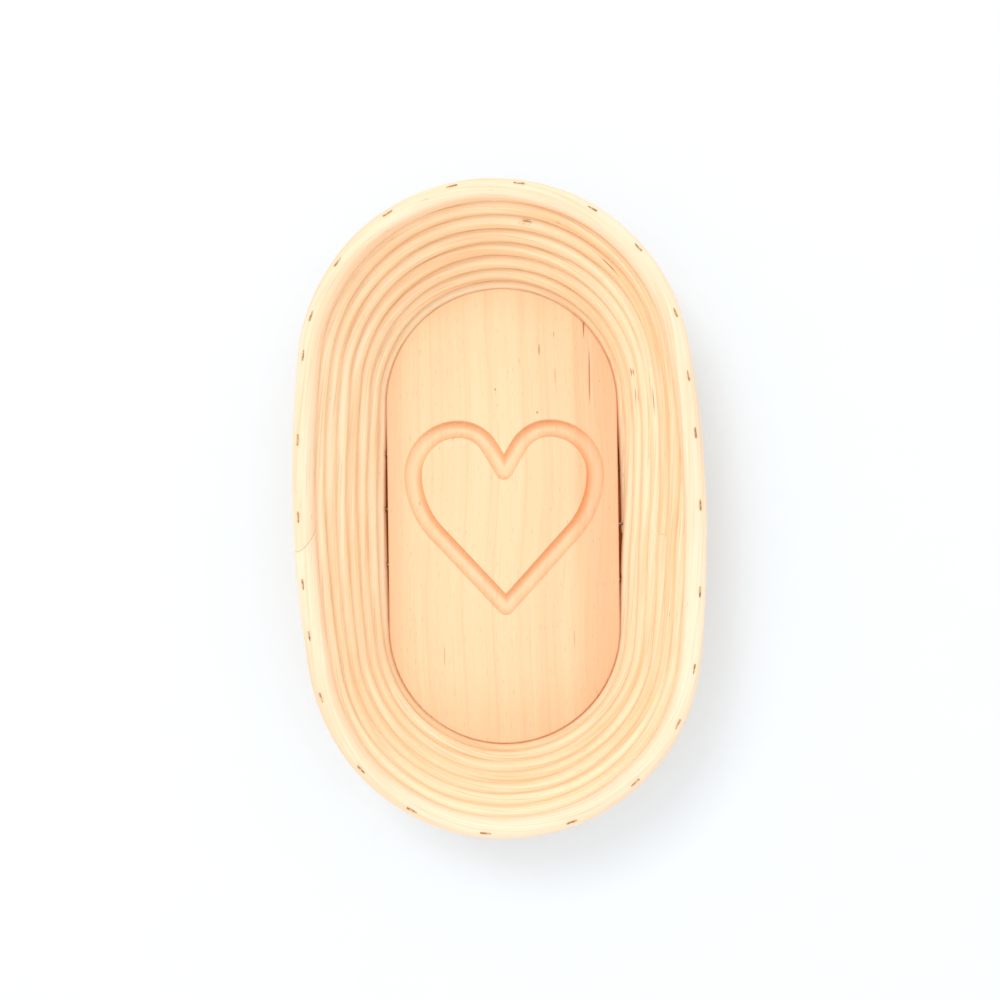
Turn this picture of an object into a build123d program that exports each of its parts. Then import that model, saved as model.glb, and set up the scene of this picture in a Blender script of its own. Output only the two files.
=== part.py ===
from build123d import *
import math
import os

# A proofing basket for bread dough. A wooden board is the bottom, and a round rattan cane is wound
# round it in a spiral that leans outwards. A thicker cane closes the top as a rim. The turns are
# nailed to the board, and stapled to one another.
# X is across the basket, Y is along it, Z is up, and the origin is under its middle, on the table.

# Board
board_length = 203.0
board_width = 103.0
board_thickness = 8.0
board_edge_round = 0.8

# Heart routed into the board with a round-nose cutter. The route is the middle of the groove.
heart_x = 0.7
notch_y = 20.0
notch_angle = 30.5  # degrees between each side of the notch and the heart's middle line
lobe_x = 20.4
lobe_top_y = 39.0
lobe_radius = 20.2  # of a lobe's outer quarter
flank_radius = 38.5
heart_tip_y = -40.4
cutter_radius = 4.0
groove_depth = 3.2

# Wall cane
cane_radius = 3.85
turn_rise = 7.25  # from the middle of one turn to the middle of the next
end_gap = 0.1  # between the board and the first turn, at the round ends
side_gap = 1.3  # the same, at the middle of the straight sides

# Rim
rim_level = 7  # the turns of the wall are levels 0 to 6
rim_length = 270.0
rim_width = 168.6
rim_end_radius = 80.5
rim_cane_radius = 4.4
rim_rise = 7.75  # from the middle of the last turn to the middle of the rim cane
rim_twist = 1.4  # degrees that the rim is turned against the board

# Where each turn climbs to the next, on the right-hand side
ramp_start_y = -28.0
ramp_end_y = 50.0
ramp_lead = 10.0  # level stretch at each end of a climb
ramp_bend_radius = 90.0

# Ends of the canes
splice_level = 4  # the two wall canes meet where this level climbs to the next
splice_share = 0.11  # how far along the climb
joint_gap = 0.2  # saw cut between two ends
feather_start_y = -8.0
feather_end_y = 34.0
feather_gap = 0.1  # between a feathered end and the cane that passes it
feather_lean = 45.0  # degrees that the start leans towards the board, away from straight below
feather_sections = 6
thinnest_feather = 0.45

# Scarf joint of the rim cane, on the left-hand side
scarf_y = -9.0
scarf_rise = 37.0  # degrees that the cut's face looks upward
scarf_skew = 42.0  # degrees that it is turned towards the outside

# Nails from the first turn into the board
nail_count = 22
first_nail = -0.0073  # as a share of the turn, from the middle of the right-hand side
nail_height = 3.4  # where a nail passes under a climbing cane
nail_shank_radius = 0.6
nail_head_radius = 1.3
nail_head_thickness = 0.5
nail_length = 15.0

# Staples
staple_crown = 4.6
wall_staple_leg = 10.5
rim_staple_leg = 12.0
staple_wire_width = 0.5
staple_wire_thickness = 0.45
staple_corner = 0.4
staple_point = 0.3
staple_sunk = 0.3  # how deep a crown lies in a turn of the wall, under the next turn
wall_row_staples = 12  # one for every two of the rim's, staggered from row to row
rim_staple_proud = 0.3  # how far a crown stands out of the rim

# From each of the rim's staples to the next. They are driven by hand, and aren't evenly spaced.
first_rim_staple = -2.0  # from the middle of the right-hand side
rim_staple_spaces = [29, 23, 26, 30, 24, 31, 27, 28, 28, 24, 16, 34]
rim_staple_spaces += [31, 27, 21, 25, 33, 26, 31, 35, 30, 29, 23, 31]


class Oval:
    """The oval of four tangent arcs that the middle of the cane follows at one level."""

    def __init__(self, level):
        share = level / rim_level
        first_length = board_length / 2 + end_gap + cane_radius
        first_width = board_width / 2 + side_gap + cane_radius
        first_end = board_width / 2 + end_gap + cane_radius
        last_length = rim_length / 2 - rim_cane_radius
        last_width = rim_width / 2 - rim_cane_radius
        last_end = rim_end_radius - rim_cane_radius
        half_length = first_length + share * (last_length - first_length)
        half_width = first_width + share * (last_width - first_width)
        self.end_radius = first_end + share * (last_end - first_end)
        self.end_y = half_length - self.end_radius
        bow = half_width - self.end_radius
        self.side_radius = (self.end_y**2 + half_width**2 - self.end_radius**2) / (2 * bow)
        self.side_x = self.side_radius - half_width
        self.side_angle = math.degrees(math.atan2(self.end_y, self.side_x))
        self.twist = share * rim_twist
        self.height = cane_radius + level * turn_rise
        if level == rim_level:
            self.height += rim_rise - turn_rise

    def turned(self, x, y):
        """A point of this level, given before the level is twisted."""
        return Vector(x, y, self.height).rotate(Axis.Z, self.twist)

    def angle_at(self, y):
        """The angle of the right-hand side's arc at a distance y along the basket."""
        return math.degrees(math.asin(y / self.side_radius))

    def right_side(self, y):
        """A point of the right-hand side, and the direction of the cane there."""
        angle = math.radians(self.angle_at(y))
        point = self.turned(self.side_radius * math.cos(angle) - self.side_x, y)
        direction = Vector(-math.sin(angle), math.cos(angle), 0).rotate(Axis.Z, self.twist)
        return point, direction

    def arcs(self):
        """The four arcs as centre, radius, first angle and last angle, from the right-hand side."""
        side = self.side_angle
        right = (-self.side_x, 0, self.side_radius, -side, side)
        back = (0, self.end_y, self.end_radius, side, 180 - side)
        left = (self.side_x, 0, self.side_radius, 180 - side, 180 + side)
        front = (0, -self.end_y, self.end_radius, 180 + side, 360 - side)
        return [right, back, left, front]

    def draw(self, arc, first=None, last=None):
        """Draws one of the arcs, or a part of it, in the BuildLine that is open."""
        x, y, radius, low, high = arc
        low = low if first is None else first
        high = high if last is None else last
        CenterArc(self.turned(x, y), radius, low + self.twist, high - low)

    def lengths(self):
        """The lengths of the four arcs."""
        return [radius * math.radians(high - low) for _, _, radius, low, high in self.arcs()]

    def at(self, share):
        """The point at a share of the loop's length, and the outward direction there."""
        lengths = self.lengths()
        along = (share % 1) * sum(lengths) + lengths[0] / 2
        along %= sum(lengths)
        for (x, y, radius, low, high), length in zip(self.arcs(), lengths):
            if along <= length:
                break
            along -= length
        angle = math.radians(low) + along / radius
        outward = Vector(math.cos(angle), math.sin(angle), 0)
        point = self.turned(x + radius * outward.X, y + radius * outward.Y)
        return point, outward.rotate(Axis.Z, self.twist)


ovals = [Oval(level) for level in range(rim_level + 1)]


def turn_lines(level):
    """Draws one turn of the wall, from the end of the climb below it to the climb above it."""
    oval = ovals[level]
    right, back, left, front = oval.arcs()
    oval.draw(right, first=oval.angle_at(ramp_end_y))
    oval.draw(back)
    oval.draw(left)
    oval.draw(front)
    oval.draw(right, last=oval.angle_at(ramp_start_y))


def climb_points(level):
    """The corners of the climb from a level to the next one."""
    low, low_direction = ovals[level].right_side(ramp_start_y)
    high, high_direction = ovals[level + 1].right_side(ramp_end_y)
    return [low, low + low_direction * ramp_lead, high - high_direction * ramp_lead, high]


def climb_lines(points):
    """Draws a climb, or the part of one that its points give, as lines and tangent arcs."""
    FilletPolyline(*points, radius=ramp_bend_radius)


def cane_along(path, start, direction, radius):
    """Sweeps a round section along a path, from its start."""
    with BuildSketch(Plane(origin=start, z_dir=direction)) as section:
        Circle(radius)
    sweep(section.sketch, path=path.wires()[0])


def climb_share(y):
    """How far a climbing cane has come at a distance y along the basket, from 0 to 1."""
    foot = ramp_start_y + ramp_lead
    head = ramp_end_y - ramp_lead
    return min(max((y - foot) / (head - foot), 0), 1)


def feather_places(first, last):
    """Evenly spaced distances along the basket, from first to last."""
    return [first + (last - first) * n / (feather_sections - 1) for n in range(feather_sections)]


def centres_at(y, level):
    """The middle of this level, of the climb towards the next, and of the next, at y."""
    low, direction = ovals[level].right_side(y)
    high, _ = ovals[level + 1].right_side(y)
    return low, low + (high - low) * climb_share(y), high, direction


def start_section(y):
    """The middle, direction and radius of the feathered start of the lower cane."""
    low, climbing, high, direction = centres_at(y, 0)
    apart = (climbing - low).length
    lean = apart * math.cos(math.radians(feather_lean))
    reach = 2 * cane_radius + feather_gap
    room = apart**2 + 2 * cane_radius * lean - reach * feather_gap
    radius = min(max(room / (2 * (reach + lean)), thinnest_feather), cane_radius)
    along = Axis(origin=(0, 0, 0), direction=direction)
    towards_board = (low - high).normalized().rotate(along, feather_lean)
    return low + towards_board * (cane_radius - radius), direction, radius


def end_section(y):
    """The middle, direction and radius of the feathered end of the upper cane."""
    _, climbing, level_centre, direction = centres_at(y, rim_level - 2)
    rim_centre, _ = ovals[rim_level].right_side(y)
    upward = (rim_centre - climbing).normalized()
    free = (rim_centre - climbing).length - cane_radius - rim_cane_radius - feather_gap
    centre = climbing + upward * (cane_radius + (feather_gap + free) / 2)
    if y == ramp_start_y:
        centre = level_centre
    return centre, direction, min(free / 2, cane_radius)


# The board, with the heart

cutter_z = board_thickness - groove_depth + cutter_radius
notch_slope = math.radians(notch_angle)
notch_reach = lobe_x * math.cos(notch_slope) - (lobe_top_y - notch_y) * math.sin(notch_slope)
inner_radius = notch_reach / (1 - math.sin(notch_slope))
inner_centre = Vector(-lobe_x, lobe_top_y - inner_radius, cutter_z)
notch_direction = Vector(-math.sin(notch_slope), math.cos(notch_slope), 0)
notch_end = inner_centre + Vector(notch_direction.Y, -notch_direction.X, 0) * inner_radius
lobe_centre_y = lobe_top_y - lobe_radius
flank_x = flank_radius - lobe_radius - lobe_x
heart_height = lobe_centre_y - heart_tip_y
tip_distance = math.hypot(flank_x, heart_height)
flank_turn = math.degrees(
    math.atan2(heart_height, flank_x) - math.acos(flank_radius / tip_distance)
)

with BuildLine() as half_heart:
    Line((0, notch_y, cutter_z), notch_end)
    CenterArc(inner_centre, inner_radius, notch_angle, 90 - notch_angle)
    CenterArc((-lobe_x, lobe_centre_y, cutter_z), lobe_radius, 90, 90)
    flank = CenterArc((flank_x, lobe_centre_y, cutter_z), flank_radius, 180, flank_turn)
    Line(flank @ 1, (0, heart_tip_y, cutter_z))

with BuildPart() as half_groove:
    cane_along(half_heart, (0, notch_y, cutter_z), notch_direction, cutter_radius)
    split(bisect_by=Plane.YZ, keep=Keep.BOTTOM)

with BuildPart() as base_board:
    with BuildSketch():
        SlotOverall(board_length, board_width, rotation=90)
    extrude(amount=board_thickness)
    fillet(base_board.faces().filter_by(Axis.Z).edges(), board_edge_round)
    with Locations((heart_x, 0, 0)):
        add(half_groove.part, mode=Mode.SUBTRACT)
        add(half_groove.part.mirror(Plane.YZ), mode=Mode.SUBTRACT)
    for corner_y in (notch_y, heart_tip_y):
        with Locations((heart_x, corner_y, cutter_z)):
            Sphere(cutter_radius, mode=Mode.SUBTRACT)
base_board.part.label = "base_board"

# The lower wall cane: a feathered start, levels 0 to 4, and the start of the next climb.
# The start lies on the table, and is shaved to the shape that the climbing end of its own turn
# leaves free. The cane is modelled as three lengths that meet end to end.


def full_turns(first, last):
    """Draws the turns from one level to another, each with the climb that follows it."""
    for level in range(first, last + 1):
        turn_lines(level)
        climb_lines(climb_points(level))


with BuildLine() as first_path:
    full_turns(0, 1)

with BuildPart() as wall_cane_turns_1_2:
    first_start, first_direction = ovals[0].right_side(ramp_end_y)
    cane_along(first_path, first_start, first_direction, cane_radius)
    for y in feather_places(feather_start_y, ramp_end_y):
        centre, direction, radius = start_section(y)
        with BuildSketch(Plane(origin=centre, z_dir=direction)):
            Circle(radius)
    loft()
wall_cane_turns_1_2.part.label = "wall_cane_turns_1_2"

with BuildLine() as second_path:
    full_turns(2, 3)

with BuildPart() as wall_cane_turns_3_4:
    second_start, second_direction = ovals[2].right_side(ramp_end_y)
    cane_along(second_path, second_start, second_direction, cane_radius)
wall_cane_turns_3_4.part.label = "wall_cane_turns_3_4"

with BuildLine() as third_path:
    turn_lines(splice_level)
    foot, foot_bend, head_bend, head = climb_points(splice_level)
    lower_end = foot_bend + (head_bend - foot_bend) * splice_share
    climb_lines([foot, foot_bend, lower_end])

with BuildPart() as wall_cane_turn_5:
    third_start, third_direction = ovals[splice_level].right_side(ramp_end_y)
    cane_along(third_path, third_start, third_direction, cane_radius)
wall_cane_turn_5.part.label = "wall_cane_turn_5"

# The upper wall cane: the rest of that climb, levels 5 and 6, and an end that is shaved to fit
# between the sixth turn, which climbs, and the rim, which is level

with BuildLine() as upper_path:
    climb_direction = (head_bend - foot_bend).normalized()
    upper_start = lower_end + climb_direction * joint_gap
    climb_lines([upper_start, head_bend, head])
    for level in range(splice_level + 1, rim_level - 1):
        turn_lines(level)
        climb_lines(climb_points(level))
    turn_lines(rim_level - 1)

with BuildPart() as wall_cane_turns_6_7:
    cane_along(upper_path, upper_start, climb_direction, cane_radius)
    for y in feather_places(ramp_start_y, feather_end_y):
        centre, direction, radius = end_section(y)
        with BuildSketch(Plane(origin=centre, z_dir=direction)):
            Circle(radius)
    loft()
wall_cane_turns_6_7.part.label = "wall_cane_turns_6_7"

# The rim cane: one loop, cut through at a slant where its two ends meet

with BuildLine() as rim_path:
    for arc in ovals[rim_level].arcs():
        ovals[rim_level].draw(arc)

with BuildPart() as rim_cane:
    rim = ovals[rim_level]
    first_y = -rim.side_radius * math.sin(math.radians(rim.side_angle))
    rim_start, rim_direction = rim.right_side(first_y)
    cane_along(rim_path, rim_start, rim_direction, rim_cane_radius)
    scarf_x = rim_cane_radius - rim_width / 2
    scarf_face = Vector(0, 1, 0).rotate(Axis.X, scarf_rise).rotate(Axis.Z, scarf_skew)
    cut = Plane(origin=(scarf_x, scarf_y, rim.height), z_dir=scarf_face)
    with BuildSketch(cut):
        Circle(4 * rim_cane_radius)
    extrude(amount=joint_gap / 2, both=True, mode=Mode.SUBTRACT)
rim_cane.part.label = "rim_cane"

# The nails that hold the first turn to the board's edge


def nail_place(share):
    """The place of a nail's head on the first turn, with Z pointing out of the basket."""
    point, outward = ovals[0].at(share)
    if point.X < 0 or not ramp_start_y < point.Y < ramp_end_y:
        return Plane(origin=point + outward * cane_radius, z_dir=outward)
    middle, _, radius = start_section(point.Y)
    if radius > nail_head_radius:
        return Plane(origin=middle + outward * radius, z_dir=outward)
    _, climbing, _, _ = centres_at(point.Y, 0)
    above = climbing.Z - nail_height
    reach = math.sqrt(cane_radius**2 - above**2)
    return Plane(origin=climbing + outward * reach - Vector(0, 0, above), z_dir=outward)


with BuildPart() as base_nails:
    with Locations(*[nail_place(first_nail + n / nail_count) for n in range(nail_count)]):
        Cylinder(nail_shank_radius, nail_length, align=(Align.CENTER, Align.CENTER, Align.MAX))
        Cylinder(
            nail_head_radius, nail_head_thickness, align=(Align.CENTER, Align.CENTER, Align.MAX)
        )
base_nails.part.label = "base_nails"

# The staples. Each is driven along the line from the middle of one turn to the middle of the turn
# below, with its crown along the cane.


def bent_staple(leg):
    """One staple, hanging from the middle of its crown."""
    with BuildPart() as staple:
        with BuildSketch(Plane.XZ) as bent_wire:
            Rectangle(staple_crown, leg, align=(Align.CENTER, Align.MAX))
            fillet(bent_wire.vertices().group_by(Axis.Y)[-1], staple_corner)
            with Locations((0, -staple_wire_thickness)):
                inside = staple_crown - 2 * staple_wire_thickness
                Rectangle(inside, leg, align=(Align.CENTER, Align.MAX), mode=Mode.SUBTRACT)
            leg_ends = bent_wire.vertices().group_by(Axis.Y)[0].sort_by(Axis.X)
            chamfer([leg_ends[0], leg_ends[-1]], staple_point)
        extrude(amount=staple_wire_width / 2, both=True)
    return staple.part


def staple_place(level, share, proud):
    """The top of a staple's crown on a level, with X along the cane and Z along the legs."""
    centre, outward = ovals[level].at(share)
    below, _ = ovals[level - 1].at(share)
    upward = (centre - below).normalized()
    along = Vector(0, 0, 1).cross(outward)
    radius = rim_cane_radius if level == rim_level else cane_radius
    return Plane(origin=centre + upward * (radius + proud), x_dir=along, z_dir=upward)


def rim_stations():
    """Where the rim's staples are, as shares of the loop."""
    loop = sum(ovals[rim_level].lengths())
    before = [sum(rim_staple_spaces[:n]) for n in range(len(rim_staple_spaces) + 1)]
    return [(first_rim_staple + distance) / loop for distance in before]


def wall_stations(level):
    """Where the staples in a turn of the wall are: midway between two of the rim's."""
    rim = rim_stations()
    first = (rim_level - 1 - level) % 2
    return [(rim[2 * n + first] + rim[2 * n + first + 1]) / 2 for n in range(wall_row_staples)]


def staple_row(staple, places, label):
    """One node of staples, each a solid of its own."""
    with BuildPart() as row:
        with Locations(*places):
            add(staple)
    row.part.label = label
    return row


wall_canes = [wall_cane_turns_1_2, wall_cane_turns_3_4, wall_cane_turn_5, wall_cane_turns_6_7]
sub_parts = [base_board, *wall_canes, rim_cane, base_nails]

for level in range(1, rim_level):
    places = [staple_place(level, station, -staple_sunk) for station in wall_stations(level)]
    clear = [p for p in places if p.origin.X < 0 or not ramp_start_y < p.origin.Y < ramp_end_y]
    label = f"wall_staples_row_{level + 1}"
    sub_parts.append(staple_row(bent_staple(wall_staple_leg), clear, label))

rim_places = [staple_place(rim_level, station, rim_staple_proud) for station in rim_stations()]
sub_parts.append(staple_row(bent_staple(rim_staple_leg), rim_places, "rim_staples"))

os.makedirs("parts", exist_ok=True)
for sub_part in sub_parts:
    export_step(sub_part.part, f"parts/{sub_part.part.label}.step")
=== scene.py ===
# A proofing basket: a wooden board with a heart cut into it, and a wall of wound rattan cane.
# The board, the nails and the staples are the CAD model's own, with finishes. The canes are made
# again here with the fibres, the wander and the marks that real cane has.
# X is across the basket, Y is along it, Z is up. Lengths are in metres.
import bmesh
import bpy
import math
import numpy as np
from mathutils import Matrix, Vector


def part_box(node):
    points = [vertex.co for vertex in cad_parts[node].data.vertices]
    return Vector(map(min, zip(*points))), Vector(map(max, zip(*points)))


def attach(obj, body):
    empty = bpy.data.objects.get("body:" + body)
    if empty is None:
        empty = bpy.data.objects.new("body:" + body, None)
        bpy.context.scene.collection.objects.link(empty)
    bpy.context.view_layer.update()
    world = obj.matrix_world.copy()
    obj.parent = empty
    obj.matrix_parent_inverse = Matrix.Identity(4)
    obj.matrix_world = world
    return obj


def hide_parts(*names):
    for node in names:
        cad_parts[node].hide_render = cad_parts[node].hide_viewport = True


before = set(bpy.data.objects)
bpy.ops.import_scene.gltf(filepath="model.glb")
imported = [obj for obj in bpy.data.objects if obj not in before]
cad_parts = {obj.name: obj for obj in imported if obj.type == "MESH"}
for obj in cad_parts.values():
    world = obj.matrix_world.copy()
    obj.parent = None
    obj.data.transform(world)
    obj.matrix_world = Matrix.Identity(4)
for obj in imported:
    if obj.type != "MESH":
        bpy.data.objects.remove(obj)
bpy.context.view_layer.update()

MM = 0.001

# The canes' route. It follows the CAD model's, but the first turn is pressed a little into the
# board's edge, the gap at the splice is narrower, and the feathered end is longer and thinner.
rim_level = 7  # the turns of the wall are levels 0 to 6
cane_radius = 3.85 * MM
turn_rise = 7.25 * MM
pressed_in = 0.5 * MM  # how far the first turn sits in the board's edge, at the round ends
side_gap = 1.3 * MM  # between the board and the first turn, at the middle of the sides
rim_length = 270 * MM
rim_width = 168.6 * MM
rim_end_radius = 80.5 * MM
rim_cane_radius = 4.4 * MM
rim_rise = 7.75 * MM
rim_twist = math.radians(1.4)
ramp_start_y = -28 * MM  # where each turn starts to climb to the next, on the right-hand side
ramp_end_y = 50 * MM
ramp_lead = 10 * MM  # level stretch at each end of a climb
ramp_rounding = 0.105  # of a climb, over which its slope sets in
splice_level = 4  # the two wall canes meet where this level climbs to the next
splice_y = -11.6 * MM
splice_gap = 0.08 * MM
scarf_gap = 0.2 * MM
feather_start_y = -8 * MM
feather_end_y = 39 * MM
feather_gap = 0.1 * MM
feather_lean = math.radians(45)
feather_settle = 12 * MM  # length in which the end comes over from its turn to under the rim
thinnest_feather = 0.45 * MM  # radius of the start's tip. The end's tip is half as thick.
scarf_y = -9 * MM
scarf_rise = math.radians(37)
scarf_skew = math.radians(42)
scarf_overlap = 14 * MM
nail_count = 22
first_nail = -0.0073  # as a share of the turn, from the middle of the right-hand side

# The board, from its CAD node
board_low, board_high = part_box("base_board")
board_length = board_high.y - board_low.y
board_width = board_high.x - board_low.x
board_top = board_high.z
heart_x = 0.7 * MM

# Brown flecks in the board: place across, place along, half length, half width and strength
board_flecks = [
    (37.0 * MM, 86 * MM, 8.5 * MM, 0.5 * MM, 0.75),
    (39.3 * MM, 62 * MM, 15 * MM, 0.45 * MM, 0.7),
    (17.0 * MM, 74 * MM, 3.2 * MM, 0.45 * MM, 0.6),
    (24.0 * MM, 62 * MM, 5.0 * MM, 0.35 * MM, 0.35),
    (-2.8 * MM, 56.5 * MM, 0.8 * MM, 0.5 * MM, 0.6),
    (15.8 * MM, 46 * MM, 0.8 * MM, 0.6 * MM, 0.6),
    (-27.0 * MM, -62 * MM, 6.0 * MM, 0.35 * MM, 0.35),
    (31.0 * MM, -55 * MM, 5.0 * MM, 0.35 * MM, 0.35),
]

# How finely the canes are meshed, and how uneven they are
route_step = 0.5 * MM
feather_steps = 120
wall_step = 1.3 * MM
wall_around = 30
rim_step = 1.0 * MM
rim_around = 52
# Added to the wall canes' radius, and half of it to the rim's, so that they lie close together
swelling = 0.15 * MM
sideways_wander = 0.13 * MM
sideways_waves = (0.11, 0.047)  # lengths of the waves that a cane wanders in
upright_waves = (0.13, 0.06)
thickness_wander = 0.05 * MM
thickness_waves = (0.07, 0.19)
tone_waves = (0.31, 0.17, 0.83)
out_of_round = 0.012  # as a share of the radius
fibre_turn = 0.6  # length in which the fibres go once round the cane
end_chamfer = 0.3 * MM
staple_dent = (2.6 * MM, 1.1 * MM, 0.28 * MM)  # half length, half width and depth
nail_dent = (2.0 * MM, 2.0 * MM, 0.4 * MM)
split_share = 0.2265  # where the upper cane has split at the back, as a share of its first turn
splinter_count = 5
splinter_steps = 5
splinter_thickness = 0.17 * MM

# The studio
camera_place = (17.7 * MM, -36.5 * MM, 569.6 * MM)
camera_lens = 45.31
camera_roll = 0.0139  # radians
camera_shift = (-0.044, 0.0972)
light_place = (-0.45, 0.55, 1.4)
light_size = 0.5
light_power = 4.6
world_brightness = 1.14
floor_z = board_low.z - 0.2 * MM  # just under the swollen canes
floor_reach = 20.0
painted_shade_blur = 1 * MM  # width in which the floor's brown patch of painted shade fades out


class Oval:
    """The oval of four tangent arcs that the middle of the cane follows at one level."""

    def __init__(self, level):
        share = level / rim_level
        first_half_length = board_length / 2 - pressed_in + cane_radius
        first_half_width = board_width / 2 + side_gap + cane_radius
        first_end = board_width / 2 - pressed_in + cane_radius
        last_half_length = rim_length / 2 - rim_cane_radius
        last_half_width = rim_width / 2 - rim_cane_radius
        last_end = rim_end_radius - rim_cane_radius
        half_length = first_half_length + share * (last_half_length - first_half_length)
        half_width = first_half_width + share * (last_half_width - first_half_width)
        self.end_radius = first_end + share * (last_end - first_end)
        self.end_y = half_length - self.end_radius
        bow = half_width - self.end_radius
        self.side_radius = (self.end_y**2 + half_width**2 - self.end_radius**2) / (2 * bow)
        self.side_x = self.side_radius - half_width
        self.side_angle = math.atan2(self.end_y, self.side_x)
        self.twist = share * rim_twist
        self.height = cane_radius + level * turn_rise
        if level == rim_level:
            self.height += rim_rise - turn_rise

    def turned(self, x, y):
        """Points of this level, given before the level is twisted about the upright axis."""
        cosine = math.cos(self.twist)
        sine = math.sin(self.twist)
        return np.stack([x * cosine - y * sine, x * sine + y * cosine, 0 * x + self.height], -1)

    def right_side(self, y):
        """Points of the right-hand side at distances y along the basket."""
        y = np.asarray(y, float)
        return self.turned(np.sqrt(self.side_radius**2 - y**2) - self.side_x, y)

    def arcs(self):
        """The four arcs as centre, radius, first angle and last angle, from the right-hand side."""
        side = self.side_angle
        right = (-self.side_x, 0, self.side_radius, -side, side)
        back = (0, self.end_y, self.end_radius, side, math.pi - side)
        left = (self.side_x, 0, self.side_radius, math.pi - side, math.pi + side)
        front = (0, -self.end_y, self.end_radius, math.pi + side, 2 * math.pi - side)
        return [right, back, left, front]

    def sample(self, arc, first=None, last=None):
        """Points along one of the arcs, or along a part of it."""
        x, y, radius, low, high = arc
        low = low if first is None else first
        high = high if last is None else last
        angles = np.linspace(low, high, max(4, int(radius * abs(high - low) / route_step)))
        return self.turned(x + radius * np.cos(angles), y + radius * np.sin(angles))

    def turn(self, first_y=ramp_end_y, last_y=ramp_start_y):
        """Points from first_y on the right-hand side, round the basket, to last_y there."""
        right, back, left, front = self.arcs()
        first = math.asin(first_y / self.side_radius)
        last = math.asin(last_y / self.side_radius)
        pieces = [self.sample(right, first=first), self.sample(back), self.sample(left)]
        pieces += [self.sample(front), self.sample(right, last=last)]
        return np.concatenate(pieces)

    def lengths(self):
        """The lengths of the four arcs."""
        return [radius * (high - low) for _, _, radius, low, high in self.arcs()]

    def loop_length(self):
        """The length of the whole oval."""
        return sum(self.lengths())

    def at(self, share):
        """The point at a share of the loop's length, and the outward direction there."""
        lengths = self.lengths()
        along = ((share % 1) * sum(lengths) + lengths[0] / 2) % sum(lengths)
        for (x, y, radius, low, high), length in zip(self.arcs(), lengths):
            if along <= length:
                break
            along -= length
        angle = low + along / radius
        point = self.turned(
            np.array(x + radius * math.cos(angle)), np.array(y + radius * math.sin(angle))
        )
        outward = np.array([math.cos(angle + self.twist), math.sin(angle + self.twist), 0])
        return point, outward


ovals = [Oval(level) for level in range(rim_level + 1)]


def unit(vectors):
    """The same vectors, each of length one."""
    return vectors / np.linalg.norm(vectors, axis=-1, keepdims=True)


def hinge(share):
    """0 below zero and share above it, with the corner rounded."""
    inside = np.clip(share + ramp_rounding, 0, 2 * ramp_rounding)
    return inside**2 / (4 * ramp_rounding) + np.maximum(share - ramp_rounding, 0)


def climb_share(y):
    """How far a climbing cane has come at distances y along the basket, from 0 to 1."""
    foot = ramp_start_y + ramp_lead
    share = (y - foot) / (ramp_end_y - ramp_lead - foot)
    return hinge(share) - hinge(share - 1)


def climb(level, first_y=ramp_start_y, last_y=ramp_end_y):
    """Points along the climb from a level to the next one."""
    y = np.linspace(first_y, last_y, 2 + int(abs(last_y - first_y) / route_step))
    low = ovals[level].right_side(y)
    high = ovals[level + 1].right_side(y)
    return low + (high - low) * climb_share(y)[:, None]


def feathered_start():
    """Points and radii of the lower cane's start, which lies between the climbing end of its own
    turn and the board."""
    y = np.linspace(feather_start_y, ramp_end_y, feather_steps)
    low = ovals[0].right_side(y)
    high = ovals[1].right_side(y)
    apart = np.linalg.norm(high - low, axis=1) * climb_share(y)
    lean = apart * math.cos(feather_lean)
    reach = 2 * cane_radius + feather_gap
    room = apart**2 + 2 * cane_radius * lean - reach * feather_gap
    radii = np.clip(room / (2 * (reach + lean)), thinnest_feather, cane_radius)
    below = unit(low - high)
    beside = np.cross(unit(np.gradient(low, axis=0)), below)
    towards_board = math.cos(feather_lean) * below + math.sin(feather_lean) * beside
    return low + towards_board * (cane_radius - radii)[:, None], radii


def feathered_end():
    """Points and radii of the upper cane's end, between the climbing turn and the rim."""
    y = np.linspace(ramp_start_y, feather_end_y, feather_steps)
    low = ovals[rim_level - 2].right_side(y)
    high = ovals[rim_level - 1].right_side(y)
    rim = ovals[rim_level].right_side(y)
    climbing = low + (high - low) * climb_share(y)[:, None]
    clear = np.linalg.norm(rim - climbing, axis=1) - cane_radius - rim_cane_radius
    radii = np.clip((clear - feather_gap) / 2, thinnest_feather / 2, cane_radius)
    points = climbing + unit(rim - climbing) * (cane_radius + clear / 2)[:, None]
    settle = np.clip((y - ramp_start_y) / feather_settle, 0, 1)[:, None]
    return high * (1 - settle) + points * settle, radii


def resampled(points, radii, step):
    """The same route at even steps: its points, its radii and the length up to each point."""
    hops = np.linalg.norm(np.diff(points, axis=0), axis=1)
    keep = np.concatenate([[True], hops > 1e-7])
    points = points[keep]
    radii = radii[keep]
    length = np.concatenate([[0], np.cumsum(np.linalg.norm(np.diff(points, axis=0), axis=1))])
    along = np.linspace(0, length[-1], int(length[-1] / step) + 1)
    even = np.stack([np.interp(along, length, points[:, axis]) for axis in range(3)], -1)
    return even, np.interp(along, length, radii), along


def wander(random, along, wavelengths):
    """A smooth seeded wave between about -1 and 1 along a cane."""
    waves = [np.sin(2 * math.pi * (along / w + random.random())) for w in wavelengths]
    return sum(waves) / len(waves)


def bump_at(distance_along, distance_across, length, width):
    """A smooth spot of a given half length and half width, 1 at its middle."""
    return np.exp(-((distance_along / length) ** 2) - (distance_across / width) ** 2)


def new_piece(name, mesh, material):
    """A piece of the basket, in the scene and riding on its one body."""
    piece = bpy.data.objects.new(name, mesh)
    bpy.context.scene.collection.objects.link(piece)
    piece.data.materials.append(material)
    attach(piece, "root")
    return piece


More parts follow.
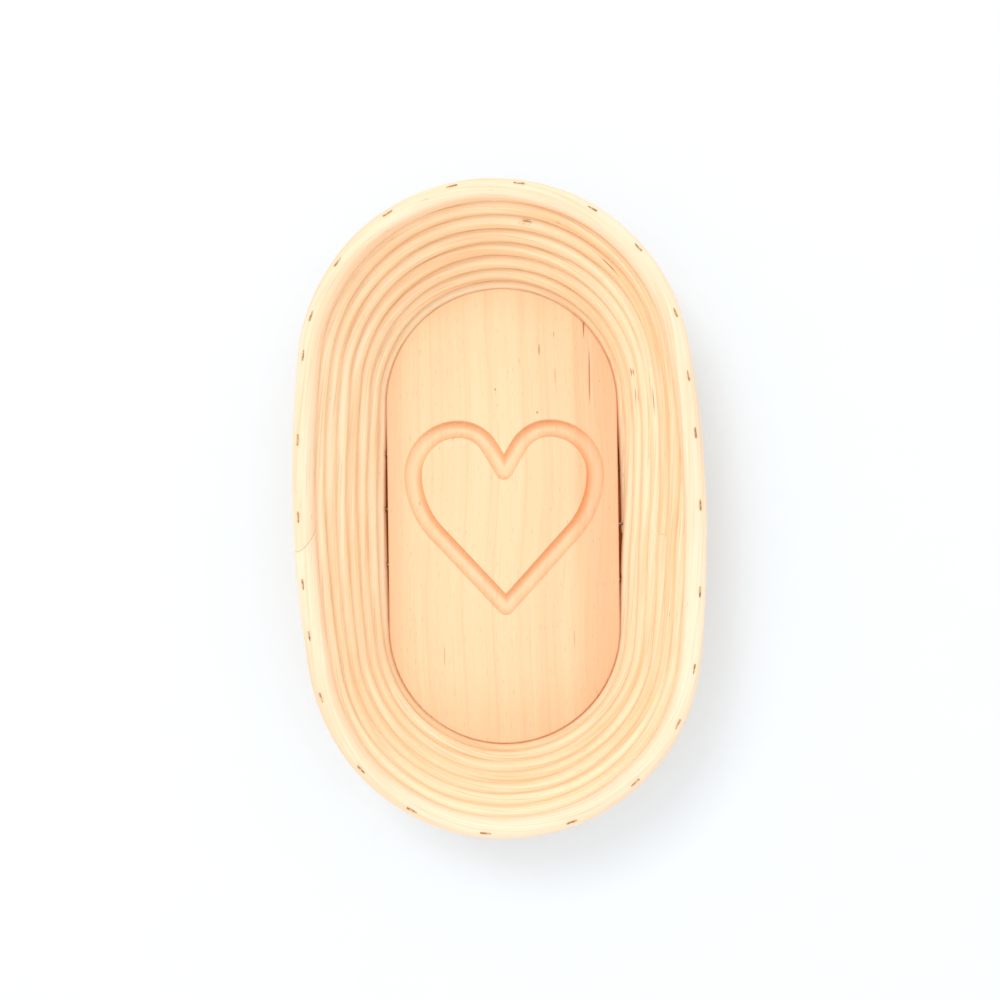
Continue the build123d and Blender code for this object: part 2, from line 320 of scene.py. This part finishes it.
def cane_mesh(name, route, radii, step, around, seed, tones, marks=(), dents=(), capped=True):
    """The mesh of a cane along a route, with the attributes that its finish reads.

    tones gives the colour along the cane from its even points. marks are (place, half length,
    half width, strength) of dark marks, and dents are (place, half length, half width, depth).
    """
    random = np.random.default_rng(seed)
    points, radii, along = resampled(route, radii, step)
    tangents = unit(np.gradient(points, axis=0))
    outward = unit(np.cross(tangents, (0, 0, 1)))
    upward = np.cross(outward, tangents)
    full = (radii / radii.max())[:, None]
    sideways = sideways_wander * wander(random, along, sideways_waves)
    points = points + outward * full * sideways[:, None]
    up_and_down = 0.4 * sideways_wander * wander(random, along, upright_waves)
    points = points + upward * full * up_and_down[:, None]
    thicker = swelling + thickness_wander * wander(random, along, thickness_waves)
    radii = radii + full[:, 0] * thicker
    if capped:
        radii[[0, -1]] -= np.minimum(end_chamfer, radii[[0, -1]] / 3)

    angles = np.arange(around) * 2 * math.pi / around
    fibre_angles = angles[None, :] + (2 * math.pi * along / fibre_turn)[:, None]
    shape = 1 + out_of_round * np.sin(2 * fibre_angles + random.random())
    shape += out_of_round / 2 * np.sin(5 * fibre_angles + random.random())
    reach = radii[:, None] * shape
    direction = np.cos(angles)[None, :, None] * outward[:, None, :]
    direction = direction + np.sin(angles)[None, :, None] * upward[:, None, :]
    skin = points[:, None, :] + direction * reach[:, :, None]
    across = np.cross(direction, tangents[:, None, :])
    for middle, half_length, half_width, depth in dents:
        offset = skin - middle
        distance_along = (offset * tangents[:, None, :]).sum(-1)
        dent = bump_at(distance_along, (offset * across).sum(-1), half_length, half_width)
        dent[np.linalg.norm(offset, axis=-1) > 4 * half_length] = 0
        skin = skin - direction * (depth * dent)[:, :, None]
    darkness = np.zeros(reach.shape)
    for middle, half_length, half_width, strength in marks:
        offset = skin - middle
        distance_along = (offset * tangents[:, None, :]).sum(-1)
        rest = offset - distance_along[:, :, None] * tangents[:, None, :]
        spot = bump_at(distance_along, np.linalg.norm(rest, axis=-1), half_length, half_width)
        darkness = np.maximum(darkness, strength * spot)

    count = len(points)
    ring = np.arange(count * around).reshape(count, around)
    here = ring[:-1]
    ahead = ring[1:]
    quads = np.stack([here, ahead, np.roll(ahead, -1, 1), np.roll(here, -1, 1)], -1)
    faces = quads.reshape(-1, 4).tolist()
    if capped:
        faces += [ring[0].tolist(), ring[-1][::-1].tolist()]
    mesh = bpy.data.meshes.new(name)
    mesh.from_pydata(skin.reshape(-1, 3).tolist(), [], faces)
    mesh.shade_smooth()

    fibre = np.empty(skin.shape)
    fibre[:, :, 0] = along[:, None]
    fibre[:, :, 1] = radii[:, None] * np.cos(fibre_angles)
    fibre[:, :, 2] = radii[:, None] * np.sin(fibre_angles)
    fibres = mesh.attributes.new("fibre", "FLOAT_VECTOR", "POINT")
    fibres.data.foreach_set("vector", fibre.reshape(-1).astype(np.float32))
    tone = np.repeat(tones(points, along)[:, None], around, 1)
    for label, values in (("tone", tone), ("mark", darkness)):
        attribute = mesh.attributes.new(label, "FLOAT", "POINT")
        attribute.data.foreach_set("value", values.reshape(-1).astype(np.float32))
    if capped:
        sharpen_ends(mesh)
    return mesh


def sharpen_ends(mesh):
    """Keeps the flat ends of a cane from being shaded round."""
    work = bmesh.new()
    work.from_mesh(mesh)
    for face in work.faces:
        if len(face.verts) > 4:
            face.smooth = False
            for edge in face.edges:
                edge.smooth = False
    work.to_mesh(mesh)
    work.free()


def on_cane(level, share, degrees):
    """A place on a turn's surface: 0 degrees is outside, 90 on top and 180 inside."""
    point, outward = ovals[level].at(share)
    radius = rim_cane_radius if level == rim_level else cane_radius
    angle = math.radians(degrees)
    return point + radius * (math.cos(angle) * outward + math.sin(angle) * np.array([0, 0, 1]))


# Finishes


class Finish:
    """A material whose nodes are added by short calls, each of which gives back an output."""

    def __init__(self, name):
        self.material = bpy.data.materials.new(name)
        self.material.use_nodes = True
        self.tree = self.material.node_tree
        self.shader = self.tree.nodes["Principled BSDF"]

    def add(self, kind, output=0, inputs=None, **settings):
        """A node of any kind, with its inputs linked or set."""
        node = self.tree.nodes.new(kind)
        for key, value in settings.items():
            setattr(node, key, value)
        for key, value in (inputs or {}).items():
            self.set(node.inputs[key], value)
        return node.outputs[output]

    def set(self, socket, value):
        """Links an output to a socket, or sets the socket to a plain value."""
        if isinstance(value, bpy.types.NodeSocket):
            self.tree.links.new(value, socket)
        else:
            socket.default_value = value

    def shade(self, **inputs):
        """Sets inputs of the shader, with _ for each space in their names."""
        for key, value in inputs.items():
            self.set(self.shader.inputs[key.replace("_", " ")], value)

    def attribute(self, name, output="Fac"):
        return self.add("ShaderNodeAttribute", output, attribute_name=name)

    def place(self):
        return self.add("ShaderNodeTexCoord", "Object")

    def stretched(self, vector, scale, shift=(0, 0, 0)):
        """Places scaled on each axis. A pattern is longest along the axis that is scaled least."""
        return self.add(
            "ShaderNodeMapping", inputs={"Vector": vector, "Scale": scale, "Location": shift}
        )

    def noise(self, vector, scale=1.0, detail=2.0, roughness=0.5):
        values = {"Vector": vector, "Scale": scale, "Detail": detail, "Roughness": roughness}
        return self.add("ShaderNodeTexNoise", "Fac", values)

    def math(self, operation, a, b=0.0, clamp=False):
        values = {0: a, 1: b}
        return self.add("ShaderNodeMath", 0, values, operation=operation, use_clamp=clamp)

    def window(self, value, low, high, to_low=0.0, to_high=1.0):
        """A value taken from one range to another, smoothly, and held at the ends."""
        values = {0: value, 1: low, 2: high, 3: to_low, 4: to_high}
        return self.add("ShaderNodeMapRange", 0, values, interpolation_type="SMOOTHSTEP")

    def mix(self, factor, a, b, blend="MIX"):
        values = {"Factor": factor, 6: a, 7: b}
        return self.add("ShaderNodeMix", 2, values, data_type="RGBA", blend_type=blend)

    def parts(self, vector):
        """The X, Y and Z of a vector."""
        node = self.tree.nodes.new("ShaderNodeSeparateXYZ")
        self.set(node.inputs[0], vector)
        return node.outputs

    def bump(self, height, distance, strength=1.0, under=None):
        values = {"Height": height, "Distance": distance, "Strength": strength}
        if under is not None:
            values["Normal"] = under
        return self.add("ShaderNodeBump", "Normal", values)


def colour(red, green, blue):
    """A colour given as it looks on a screen, from 0 to 255, for a shader's socket."""
    return tuple(((value / 255 + 0.055) / 1.055) ** 2.4 for value in (red, green, blue)) + (1,)


def rattan(name, pale, tan, brown, streak_depth):
    """Peeled cane: long pale and tan fibres, fine open vessels, and a few brown marks."""
    finish = Finish(name)
    fibre = finish.attribute("fibre", "Vector")
    slow = finish.noise(finish.stretched(fibre, (14, 60, 60)), detail=3)
    bands = finish.noise(finish.stretched(fibre, (5, 420, 420), (3, 1, 2)), detail=3)
    streaks = finish.noise(finish.stretched(fibre, (22, 1500, 1500)), detail=4, roughness=0.65)
    vessels = finish.noise(finish.stretched(fibre, (90, 3600, 3600), (7, 0, 0)), detail=2)
    flecks = finish.noise(finish.stretched(fibre, (160, 900, 900), (0, 5, 0)), detail=2)

    warmth = finish.math("ADD", finish.attribute("tone"), finish.window(slow, 0.3, 0.7, -0.3, 0.3))
    warmth = finish.math("ADD", warmth, finish.window(bands, 0.3, 0.7, -0.3, 0.35), clamp=True)
    base = finish.mix(warmth, pale, tan)
    dark_streaks = finish.window(streaks, 0.52, 0.7, 0.0, streak_depth)
    base = finish.mix(dark_streaks, base, brown)
    pale_streaks = finish.window(streaks, 0.48, 0.3, 0.0, 0.5)
    base = finish.mix(pale_streaks, base, colour(252, 236, 208))
    base = finish.mix(finish.window(flecks, 0.7, 0.8, 0.0, 0.45), base, brown)
    uneven = finish.window(streaks, 0.3, 0.7, -0.35, 0.35)
    crack = finish.math("ADD", finish.attribute("mark"), uneven)
    base = finish.mix(finish.window(crack, 0.38, 0.62, 0.0, 0.85), base, colour(176, 106, 54))

    relief = finish.bump(streaks, 0.09 * MM, 0.7)
    relief = finish.bump(vessels, 0.05 * MM, 0.5, relief)
    finish.shade(Base_Color=base, Normal=relief, Specular_IOR_Level=0.32)
    finish.shade(Roughness=finish.window(streaks, 0.25, 0.75, 0.48, 0.7))
    return finish.material


def board_wood():
    """Pale hardwood with its grain along the basket, and a rougher cut across the grain."""
    finish = Finish("board_wood")
    place = finish.place()
    x, y, z = finish.parts(place)
    bend = finish.noise(finish.stretched(place, (6, 9, 6)), detail=1)
    sway = finish.add("ShaderNodeCombineXYZ", inputs={0: finish.math("MULTIPLY", bend, 0.012)})
    waved = finish.add("ShaderNodeVectorMath", inputs={0: place, 1: sway}, operation="ADD")
    bands = finish.noise(finish.stretched(waved, (55, 1.2, 20)), detail=3, roughness=0.55)
    lines = finish.noise(finish.stretched(waved, (420, 3, 60), (2, 0, 0)), detail=3, roughness=0.6)
    fine = finish.noise(finish.stretched(waved, (1900, 24, 900)), detail=3)
    pores = finish.noise(finish.stretched(waved, (2600, 210, 900), (0, 4, 0)), detail=1)
    specks = finish.noise(finish.stretched(waved, (700, 130, 300), (0, 9, 0)), detail=1)

    centre = colour(250, 216, 176)
    salmon = colour(246, 187, 145)
    right_band = finish.window(x, 28 * MM, 37 * MM, 0.0, 0.6)
    left_edge = finish.window(x, -38 * MM, -51 * MM, 0.0, 0.38)
    front_end = finish.window(y, -62 * MM, -98 * MM, 0.0, 0.3)
    back_end = finish.window(y, 82 * MM, 100 * MM, 0.0, 0.22)
    warmth = finish.window(bands, 0.3, 0.72, 0.0, 0.3)
    for amount in (right_band, left_edge, front_end, back_end):
        warmth = finish.math("ADD", warmth, amount)
    base = finish.mix(finish.math("MINIMUM", warmth, 1.0), centre, salmon)
    base = finish.mix(finish.window(lines, 0.5, 0.75, 0.0, 0.22), base, colour(240, 174, 122))
    base = finish.mix(finish.window(lines, 0.45, 0.25, 0.0, 0.25), base, colour(253, 228, 194))
    base = finish.mix(finish.window(fine, 0.55, 0.8, 0.0, 0.22), base, colour(214, 150, 98))
    base = finish.mix(finish.window(pores, 0.66, 0.76, 0.0, 0.3), base, colour(176, 112, 66))
    base = finish.mix(finish.window(specks, 0.79, 0.84, 0.0, 0.6), base, colour(140, 82, 44))

    for fleck_x, fleck_y, half_length, half_width, strength in board_flecks:
        across = finish.math("DIVIDE", finish.math("SUBTRACT", x, fleck_x), half_width)
        lean = finish.math("MULTIPLY", finish.math("SUBTRACT", y, fleck_y), 1 / half_length)
        near = finish.math("ADD", finish.math("POWER", across, 2), finish.math("POWER", lean, 2))
        spot = finish.window(near, 1.0, 0.2, 0.0, strength)
        base = finish.mix(spot, base, colour(150, 88, 50))

    # Painted shade: in the groove, the sides facing the front or away from the heart's middle are
    # darker
    in_groove = finish.window(z, board_top - 0.2 * MM, board_top - 1.2 * MM)
    facing_x, facing_y, _ = finish.parts(finish.add("ShaderNodeNewGeometry", "Normal"))
    side_of_heart = finish.math("SIGN", finish.math("SUBTRACT", x, heart_x))
    facing_out = finish.math("MULTIPLY", side_of_heart, facing_x)
    painted_groove_shade = finish.math("SUBTRACT", finish.math("MULTIPLY", facing_out, 0.7), facing_y)
    painted_groove_shade = finish.math("MULTIPLY", finish.window(painted_groove_shade, 0.0, 0.7, 0.0, 0.55), in_groove)
    # Mixes in the painted shade of the groove's sides
    base = finish.mix(painted_groove_shade, base, colour(234, 160, 108))
    across_grain = finish.math("MULTIPLY", finish.math("ABSOLUTE", facing_y), in_groove)
    end_grain = finish.noise(finish.stretched(place, (1500, 500, 900)), detail=4, roughness=0.7)
    cut = finish.math("MULTIPLY", across_grain, finish.window(end_grain, 0.35, 0.7, 0.25, 1.0))
    base = finish.mix(finish.math("MULTIPLY", cut, 0.55), base, colour(222, 152, 98))

    relief = finish.bump(fine, 0.05 * MM, 0.5)
    relief = finish.bump(pores, 0.05 * MM, 0.4, relief)
    relief = finish.bump(finish.math("MULTIPLY", end_grain, cut), 0.35 * MM, 0.8, relief)
    finish.shade(Base_Color=base, Normal=relief, Specular_IOR_Level=0.3)
    finish.shade(Roughness=finish.window(fine, 0.3, 0.7, 0.45, 0.62))
    return finish.material


def worn_steel(name, bright, dull, roughness):
    """Thin wire steel, tarnished in patches."""
    finish = Finish(name)
    place = finish.place()
    patches = finish.noise(place, 900.0, detail=4, roughness=0.65)
    scratches = finish.noise(finish.stretched(place, (6000, 900, 2500)), detail=2)
    tarnish = finish.window(patches, 0.35, 0.65)
    finish.shade(Base_Color=finish.mix(tarnish, bright, dull), Metallic=0.85)
    finish.shade(Roughness=finish.window(patches, 0.3, 0.7, roughness, roughness + 0.25))
    finish.shade(Normal=finish.bump(scratches, 0.02 * MM, 0.5))
    return finish.material


def pale_floor():
    """A pale floor, with a brown patch painted under the basket. The patch is painted shade, with no
    source in the light: it is there so that the gaps beside the board look brown."""
    finish = Finish("studio_floor")
    mottle = finish.noise(finish.place(), 40.0, detail=3)
    open_floor = finish.mix(mottle, colour(227, 233, 238), colour(229, 235, 240))
    x, y, _ = finish.parts(finish.place())
    straight = (board_length - board_width) / 2
    past_straight = finish.math("SUBTRACT", finish.math("ABSOLUTE", y), straight)
    along = finish.math("POWER", finish.math("MAXIMUM", past_straight, 0.0), 2)
    from_middle = finish.math("SQRT", finish.math("ADD", along, finish.math("POWER", x, 2)))
    under_turn = board_width / 2 + cane_radius
    # Painted shade: the floor under the basket turns brown, for the shade seen through the gaps
    under = finish.window(from_middle, under_turn, under_turn - painted_shade_blur)
    base = finish.mix(under, open_floor, colour(204, 120, 66))
    finish.shade(Base_Color=base, Roughness=finish.window(mottle, 0.3, 0.7, 0.8, 0.9))
    finish.shade(Specular_IOR_Level=0.1)
    return finish.material


# The canes


def tone_along(seed, base, accents=()):
    """The colour along a cane: a slow drift, and stretches that are darker or paler.

    Each accent is the middle of a stretch, its half length and how much it adds.
    """

    def tones(points, along):
        drift = wander(np.random.default_rng(seed), along, tone_waves)
        tone = base + 0.16 * drift
        for middle, half_length, amount in accents:
            distance = np.linalg.norm(points - middle, axis=1)
            tone = tone + amount * np.exp(-((distance / half_length) ** 2))
        return tone

    return tones


def nail_heads():
    """The middle of each nail's head on the first turn, away from the climb."""
    heads = []
    for n in range(nail_count):
        point, outward = ovals[0].at(first_nail + n / nail_count)
        if point[0] < 0 or not ramp_start_y < point[1] < ramp_end_y:
            heads.append(point + outward * cane_radius)
    return heads


def build_lower_cane(material):
    """Turns 1 to 5, from the feathered start to the splice."""
    start, start_radii = feathered_start()
    route = [start]
    for level in range(splice_level):
        route += [ovals[level].turn(), climb(level)]
    route += [ovals[splice_level].turn(), climb(splice_level, ramp_start_y, splice_y)]
    points = np.concatenate(route)
    radii = np.full(len(points), cane_radius)
    radii[: len(start_radii)] = start_radii
    marks = [
        (on_cane(2, 0.104, 125), 2.2 * MM, 1.2 * MM, 0.72),
        (on_cane(2, 0.086, 115), 6.5 * MM, 0.8 * MM, 0.55),
        (on_cane(4, 0.071, 125), 13 * MM, 0.8 * MM, 0.6),
        (on_cane(1, 0.42, 130), 1.2 * MM, 0.8 * MM, 0.45),
        (on_cane(2, 0.66, 125), 2.0 * MM, 0.8 * MM, 0.4),
        (on_cane(0, 0.83, 120), 1.6 * MM, 0.8 * MM, 0.4),
    ]
    tones = tone_along(seed=3, base=0.42)
    dents = [(head, *nail_dent) for head in nail_heads()]
    mesh = cane_mesh(
        "lower_cane", points, radii, wall_step, wall_around, seed=11,
        tones=tones, marks=marks, dents=dents,
    )
    piece = new_piece("lower_cane", mesh, material)
    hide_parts("wall_cane_turns_1_2", "wall_cane_turns_3_4", "wall_cane_turn_5")


def build_upper_cane(material):
    """Turns 6 and 7, from the splice to the feathered end under the rim."""
    end, end_radii = feathered_end()
    route = [climb(splice_level, splice_y + splice_gap, ramp_end_y)]
    route += [ovals[splice_level + 1].turn(), climb(splice_level + 1)]
    route += [ovals[rim_level - 1].turn(), end]
    points = np.concatenate(route)
    radii = np.full(len(points), cane_radius)
    radii[-len(end_radii) :] = end_radii
    marks = [
        (on_cane(5, split_share, 100), 3.0 * MM, 1.0 * MM, 0.8),
        (on_cane(5, 0.93, 120), 1.8 * MM, 0.9 * MM, 0.6),
        (on_cane(6, 0.205, 140), 1.6 * MM, 0.8 * MM, 0.45),
        (on_cane(5, 0.165, 120), 7.0 * MM, 0.7 * MM, 0.5),
    ]
    accents = [
        (on_cane(5, 0.22, 90), 60 * MM, 0.3),
        (on_cane(6, 0.14, 90), 50 * MM, 0.2),
        (on_cane(5, 0.0, 90), 30 * MM, 0.25),
    ]
    tones = tone_along(seed=8, base=0.5, accents=accents)
    mesh = cane_mesh(
        "upper_cane", points, radii, wall_step, wall_around, seed=12, tones=tones, marks=marks
    )
    piece = new_piece("upper_cane", mesh, material)
    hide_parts("wall_cane_turns_6_7")


def top_of_rim(share):
    """The place on the rim's surface where a staple's crown would lie."""
    centre, _ = ovals[rim_level].at(share)
    below, _ = ovals[rim_level - 1].at(share)
    return centre + unit(centre - below) * rim_cane_radius


def rim_staple_middles():
    """The middle of each rim staple's crown, on the rim's surface, as the CAD staples lie."""
    hop = 0.1 * MM
    shares = np.arange(0, 1, hop / ovals[rim_level].loop_length())
    tops = np.array([top_of_rim(share) for share in shares])
    staples = [np.array(vertex.co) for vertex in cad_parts["rim_staples"].data.vertices]
    taken = np.zeros(len(tops), bool)
    for corner in staples:
        distances = np.linalg.norm(tops - corner, axis=1)
        if distances.min() < 1 * MM:
            taken[distances.argmin()] = True
    # The corners of one staple are closer together than two staples are, also across the loop's end
    places = np.nonzero(taken)[0]
    gaps = np.diff(places, append=places[0] + len(tops))
    breaks = np.nonzero(gaps * hop > 6 * MM)[0]
    lasts = places[breaks]
    firsts = places[(np.roll(breaks, 1) + 1) % len(places)]
    halves = (lasts - firsts) % len(tops) / 2
    return [top_of_rim(shares[first] + half * shares[1]) for first, half in zip(firsts, halves)]


def build_rim(material):
    """The rim cane, with its two ends cut at a slant to lie on one another."""
    rim = ovals[rim_level]
    right, back, left, front = rim.arcs()
    scarf_angle = math.pi - math.asin(scarf_y / rim.side_radius)
    overlap = scarf_overlap / rim.side_radius
    route = [rim.sample(left, first=scarf_angle - overlap), rim.sample(front)]
    route += [rim.sample(right), rim.sample(back), rim.sample(left, last=scarf_angle + overlap)]
    points = np.concatenate(route)
    radii = np.full(len(points), rim_cane_radius - swelling / 2)
    marks = [(on_cane(7, 0.78, 110), 1.6 * MM, 0.8 * MM, 0.25)]
    tones = tone_along(seed=5, base=0.3)
    dents = [(crown, *staple_dent) for crown in rim_staple_middles()]
    mesh = cane_mesh(
        "rim", points, radii, rim_step, rim_around, seed=13,
        tones=tones, marks=marks, dents=dents, capped=False,
    )
    cut_scarf(mesh, rim_around)
    piece = new_piece("rim", mesh, material)
    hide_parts("rim_cane")


def cut_scarf(mesh, around):
    """Cuts both open ends of the rim along the scarf's slanted plane, and closes them."""
    rim = ovals[rim_level]
    middle, _ = rim.at(0.5 - scarf_y / rim.loop_length())
    normal = Matrix.Rotation(scarf_rise, 3, "X") @ Vector((0, 1, 0))
    normal = Matrix.Rotation(scarf_skew, 3, "Z") @ normal
    work = bmesh.new()
    work.from_mesh(mesh)
    work.verts.ensure_lookup_table()
    rings = int(2.5 * scarf_overlap / rim_step) * around
    first = set(work.verts[:rings])
    last = set(work.verts[-rings:])
    for ends, keeps_upper in ((first, False), (last, True)):
        faces = [face for face in work.faces if all(vert in ends for vert in face.verts)]
        edges = {edge for face in faces for edge in face.edges}
        verts = {vert for face in faces for vert in face.verts}
        side = 1 if keeps_upper else -1
        bmesh.ops.bisect_plane(
            work,
            geom=[*verts, *edges, *faces],
            plane_co=Vector(middle) + normal * side * scarf_gap / 2,
            plane_no=normal,
            clear_inner=keeps_upper,
            clear_outer=not keeps_upper,
        )
    open_edges = [edge for edge in work.edges if edge.is_boundary]
    closed = bmesh.ops.holes_fill(work, edges=open_edges, sides=0)
    for face in closed["faces"]:
        face.smooth = False
        for edge in face.edges:
            edge.smooth = False
    bmesh.ops.recalc_face_normals(work, faces=work.faces)
    work.to_mesh(mesh)
    work.free()


def build_splinters(material):
    """A few fibres that have lifted off the upper cane where it was bent round the back."""
    random = np.random.default_rng(21)
    work = bmesh.new()
    root, outward = ovals[splice_level + 1].at(split_share)
    along = np.cross((0, 0, 1), outward)
    inward = -outward
    for n in range(splinter_count):
        start = root + along * (random.random() - 0.5) * 5 * MM
        start = start + (inward * 0.35 + np.array([0, 0, 0.93])) * (cane_radius + 0.05 * MM)
        length = (2.0 + 2.5 * random.random()) * MM
        lean = (random.random() - 0.5) * 1.6
        add_splinter(work, start, unit(along * lean + inward * 0.8), length)
    mesh = bpy.data.meshes.new("splinters")
    bmesh.ops.recalc_face_normals(work, faces=work.faces)
    work.to_mesh(mesh)
    work.free()
    mesh.shade_smooth()
    new_piece("splinters", mesh, material)


def add_splinter(work, start, direction, length):
    """One lifted fibre: a thin three-sided spike that curls upward."""
    sideways = unit(np.cross(direction, (0, 0, 1)))
    rings = []
    for n in range(splinter_steps + 1):
        share = n / splinter_steps
        middle = start + direction * length * share
        middle = middle + np.array([0, 0, 1]) * length * 0.35 * share**2
        thick = splinter_thickness * (1 - 0.85 * share)
        corners = [sideways * thick, np.array([0, 0, thick]), -sideways * thick]
        rings.append([work.verts.new(middle + corner) for corner in corners])
    for here, ahead in zip(rings, rings[1:]):
        for side in range(3):
            after = (side + 1) % 3
            work.faces.new([here[side], here[after], ahead[after], ahead[side]])
    work.faces.new(rings[0])
    work.faces.new(rings[-1])


# The studio


def build_floor():
    """The floor, just under the basket."""
    work = bmesh.new()
    corners = [(-1, -1), (1, -1), (1, 1), (-1, 1)]
    work.faces.new([work.verts.new((x * floor_reach, y * floor_reach, floor_z)) for x, y in corners])
    mesh = bpy.data.meshes.new("studio_floor")
    work.to_mesh(mesh)
    work.free()
    floor = bpy.data.objects.new("studio_floor", mesh)
    bpy.context.scene.collection.objects.link(floor)
    floor.data.materials.append(pale_floor())


def build_camera():
    """A camera that looks straight down on the basket from high over its front right part."""
    data = bpy.data.cameras.new("camera")
    data.sensor_width = 36
    data.lens = camera_lens
    data.shift_x, data.shift_y = camera_shift
    camera = bpy.data.objects.new("camera", data)
    camera.location = camera_place
    camera.rotation_euler = (0, 0, -camera_roll)
    bpy.context.scene.collection.objects.link(camera)
    bpy.context.scene.camera = camera


def build_light():
    """A square soft light that faces the basket."""
    data = bpy.data.lights.new("soft_light", "AREA")
    data.shape = "SQUARE"
    data.size = light_size
    data.energy = light_power
    light = bpy.data.objects.new("soft_light", data)
    light.location = light_place
    light.rotation_euler = (-Vector(light_place)).to_track_quat("-Z", "Y").to_euler()
    bpy.context.scene.collection.objects.link(light)


def build_world():
    """Even white light from all sides."""
    world = bpy.data.worlds.new("studio")
    bpy.context.scene.world = world
    world.use_nodes = True
    background = world.node_tree.nodes["Background"]
    background.inputs["Color"].default_value = (1, 1, 1, 1)
    background.inputs["Strength"].default_value = world_brightness
    bpy.context.scene.view_settings.view_transform = "Standard"


def finish_cad_nodes():
    """Puts the finishes on the board, the nails and the staples, which stay the CAD model's own."""
    wood = board_wood()
    nails = worn_steel("nail_steel", colour(190, 164, 138), colour(128, 100, 78), 0.4)
    staples = worn_steel("staple_steel", colour(226, 196, 160), colour(160, 116, 78), 0.35)
    finishes = {"base_board": wood, "base_nails": nails}
    for name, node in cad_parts.items():
        if not name.startswith("wall_cane") and name != "rim_cane":
            node.data.materials.clear()
            node.data.materials.append(finishes.get(name, staples))


build_camera()
build_floor()
build_light()
build_world()

wall_rattan = rattan(
    "wall_rattan", pale=colour(249, 230, 196), tan=colour(246, 207, 162),
    brown=colour(214, 152, 98), streak_depth=0.45,
)
rim_rattan = rattan(
    "rim_rattan", pale=colour(249, 222, 192), tan=colour(247, 206, 168),
    brown=colour(216, 160, 112), streak_depth=0.35,
)
build_lower_cane(wall_rattan)
build_upper_cane(wall_rattan)
build_rim(rim_rattan)
build_splinters(wall_rattan)
finish_cad_nodes()
